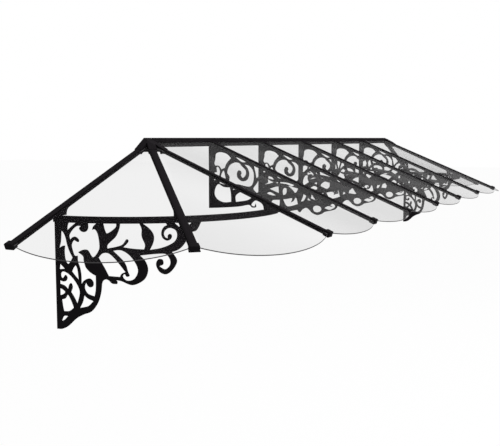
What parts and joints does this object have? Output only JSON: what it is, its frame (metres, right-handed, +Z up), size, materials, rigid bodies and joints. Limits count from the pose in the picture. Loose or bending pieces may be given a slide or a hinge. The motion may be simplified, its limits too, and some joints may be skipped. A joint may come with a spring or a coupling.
{
  "type": "curved lean-to canopy",
  "caption": "Wall canopy with a sloped clear roof of scalloped panels on rafters, quarter-round fan ends on curved beams, and pierced scrollwork brackets on the wall.",
  "frame": {"origin": "centre of the wall rail's back face, on the wall plane", "axes": "+X along the wall to the right seen from the front, +Y into the wall, +Z up"},
  "size_m": [5.5064, 1.0122, 0.8057],
  "materials": {
    "frame": "satin",
    "scrollwork": "satin",
    "caps": "matte",
    "screws": "satin",
    "glazing": "gloss"
  },
  "bodies": {
    "root": {"wall_rail": "frame", "ridge_cover": "frame", "hub_left": "frame", "hub_right": "frame", "rafter_front_2": "frame", "rafter_front_3": "frame", "rafter_front_4": "frame", "rafter_front_5": "frame", "rafter_front_6": "frame", "rafter_front_left": "frame", "rafter_hip_left": "frame", "rafter_wall_left": "frame", "rafter_front_right": "frame", "rafter_hip_right": "frame", "rafter_wall_right": "frame", "end_cap_front_2": "caps", "end_cap_front_3": "caps", "end_cap_front_4": "caps", "end_cap_front_5": "caps", "end_cap_front_6": "caps", "end_cap_front_left": "caps", "end_cap_hip_left": "caps", "end_cap_wall_left": "caps", "end_cap_front_right": "caps", "end_cap_hip_right": "caps", "end_cap_wall_right": "caps", "hub_screw_front_left": "screws", "hub_screw_hip_left": "screws", "hub_screw_wall_left": "screws", "hub_screw_front_right": "screws", "hub_screw_hip_right": "screws", "hub_screw_wall_right": "screws", "panel_bay_1": "glazing", "panel_bay_2": "glazing", "panel_bay_3": "glazing", "panel_bay_4": "glazing", "panel_bay_5": "glazing", "panel_bay_6": "glazing", "panel_fan_front_left": "glazing", "panel_fan_wall_left": "glazing", "panel_fan_front_right": "glazing", "panel_fan_wall_right": "glazing", "curved_beam_left": "frame", "curved_beam_right": "frame", "saddle_front_left": "frame", "saddle_hip_left": "frame", "saddle_wall_left": "frame", "saddle_front_right": "frame", "saddle_hip_right": "frame", "saddle_wall_right": "frame", "end_bracket_left": "scrollwork", "end_bracket_right": "scrollwork", "inner_bracket_1": "scrollwork", "inner_bracket_2": "scrollwork", "inner_bracket_3": "scrollwork", "inner_bracket_4": "scrollwork", "inner_bracket_5": "scrollwork"}
  },
  "joints": []
}
